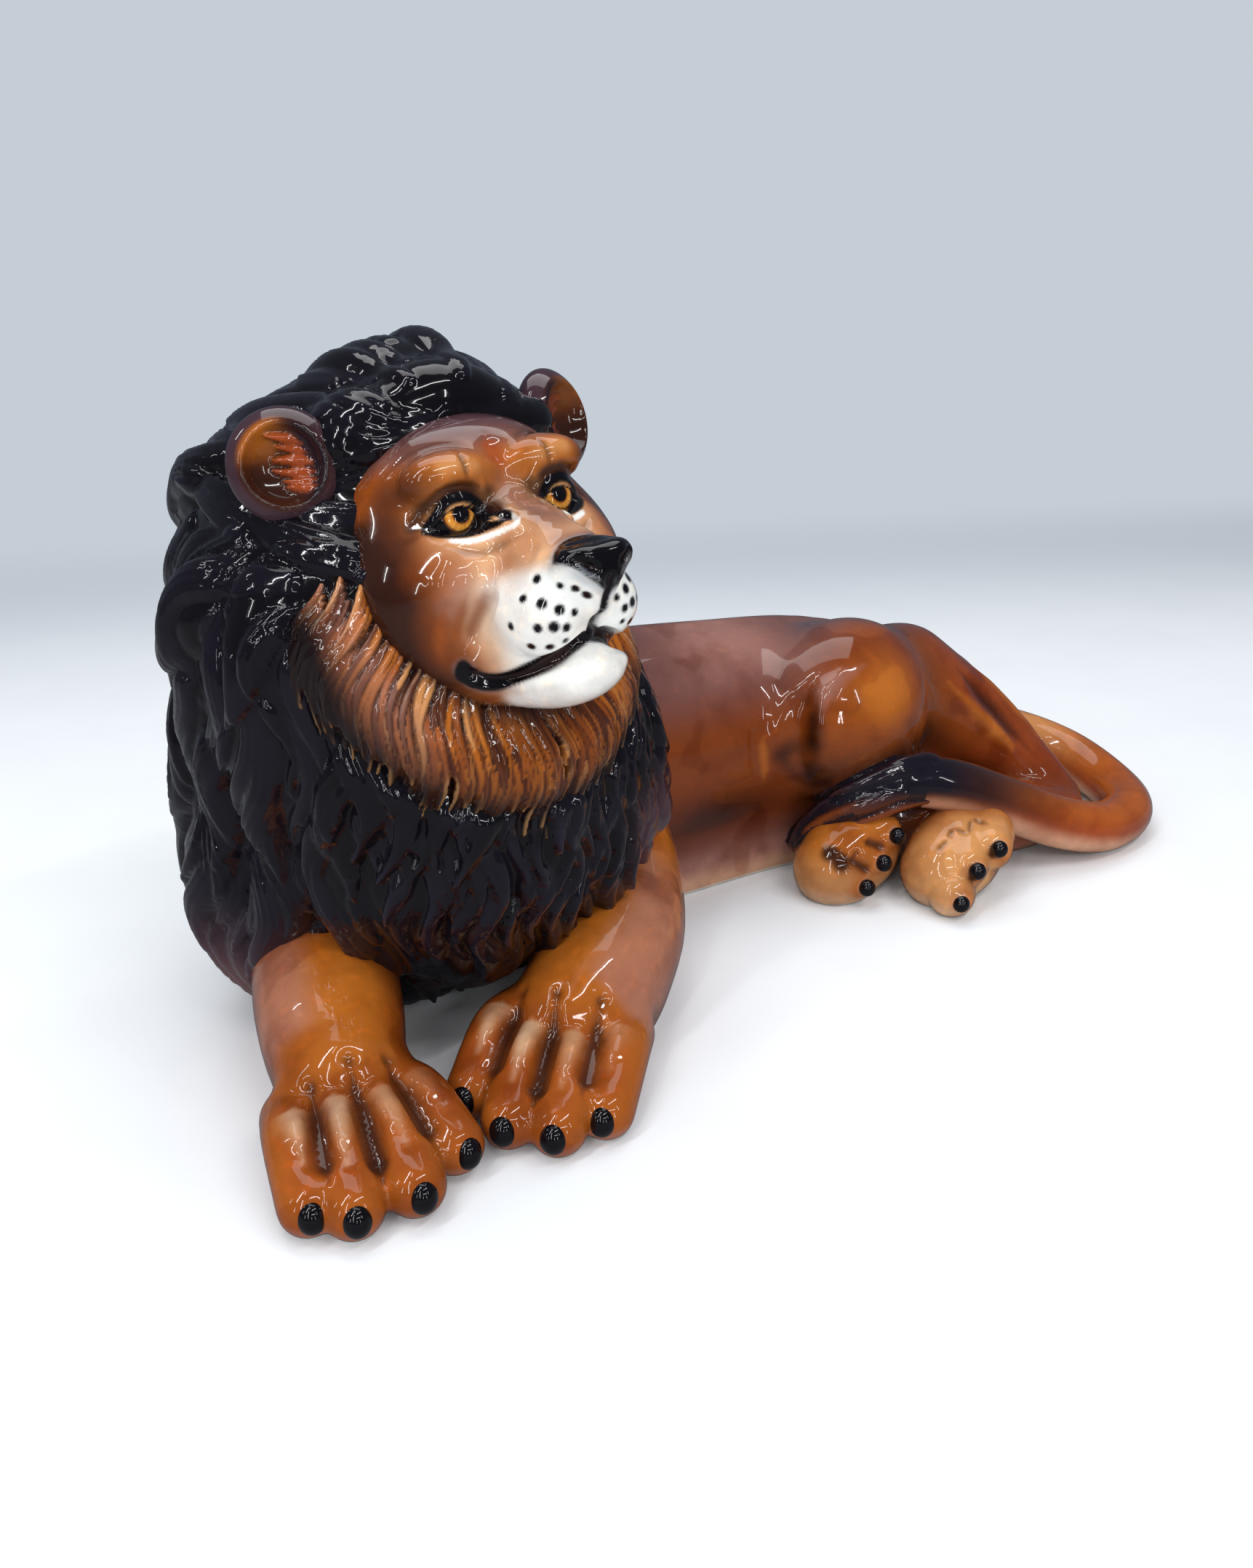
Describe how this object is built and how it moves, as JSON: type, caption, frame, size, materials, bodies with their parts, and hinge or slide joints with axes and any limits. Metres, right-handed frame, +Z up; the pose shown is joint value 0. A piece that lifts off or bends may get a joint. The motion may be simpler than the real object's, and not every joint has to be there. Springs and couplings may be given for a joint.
{
  "type": "ceramic lion figurine",
  "caption": "Hollow glazed ceramic lion lying down with its head turned to the side, flat underneath to stand on a floor or shelf.",
  "frame": {"origin": "middle of the figure's footprint, on the surface that it stands on", "axes": "+Z up; +X from the mane towards the rump, along the body; the face, the paws and the tail's curl point to -Y"},
  "size_m": [0.7058, 0.3176, 0.35],
  "materials": {
    "body_glaze": "glossy clear glaze over airbrushed brown",
    "mane_glaze": "glossy clear glaze over brushed black",
    "face_glaze": "glossy clear glaze over airbrushed amber, white and black",
    "ear_glaze": "glossy clear glaze over dark brown",
    "leg_glaze": "glossy clear glaze over airbrushed amber",
    "paw_glaze": "glossy clear glaze over tan",
    "tail_glaze": "glossy clear glaze over orange brown",
    "tuft_glaze": "glossy clear glaze over black"
  },
  "bodies": {
    "root": {"trunk": "body_glaze", "mane": "mane_glaze", "head": "face_glaze", "left_ear": "ear_glaze", "right_ear": "ear_glaze", "left_foreleg": "leg_glaze", "right_foreleg": "leg_glaze", "left_hind_foot": "paw_glaze", "right_hind_foot": "paw_glaze", "tail": "tail_glaze", "tail_tuft": "tuft_glaze"}
  },
  "joints": []
}
